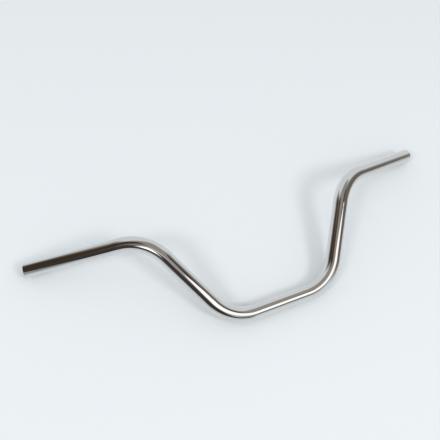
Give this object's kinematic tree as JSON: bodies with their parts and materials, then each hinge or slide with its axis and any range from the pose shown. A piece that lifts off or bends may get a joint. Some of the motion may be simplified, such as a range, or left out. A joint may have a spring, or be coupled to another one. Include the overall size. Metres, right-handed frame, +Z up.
{
  "type": "moped handlebar",
  "caption": "Bent chromed steel tube that steers a moped: a straight clamp section, rises swept up on both sides, and straight ends that carry the grips and controls.",
  "frame": {"origin": "middle of the straight clamp section, on the axis of the tube", "axes": "+X along the clamp section to the right grip, +Y from the clamp section to the grips, +Z up as the bar lies at rest"},
  "size_m": [0.647, 0.1883, 0.0704],
  "materials": {
    "chrome": "bright"
  },
  "bodies": {
    "root": {"handlebar_tube": "chrome"}
  },
  "joints": []
}
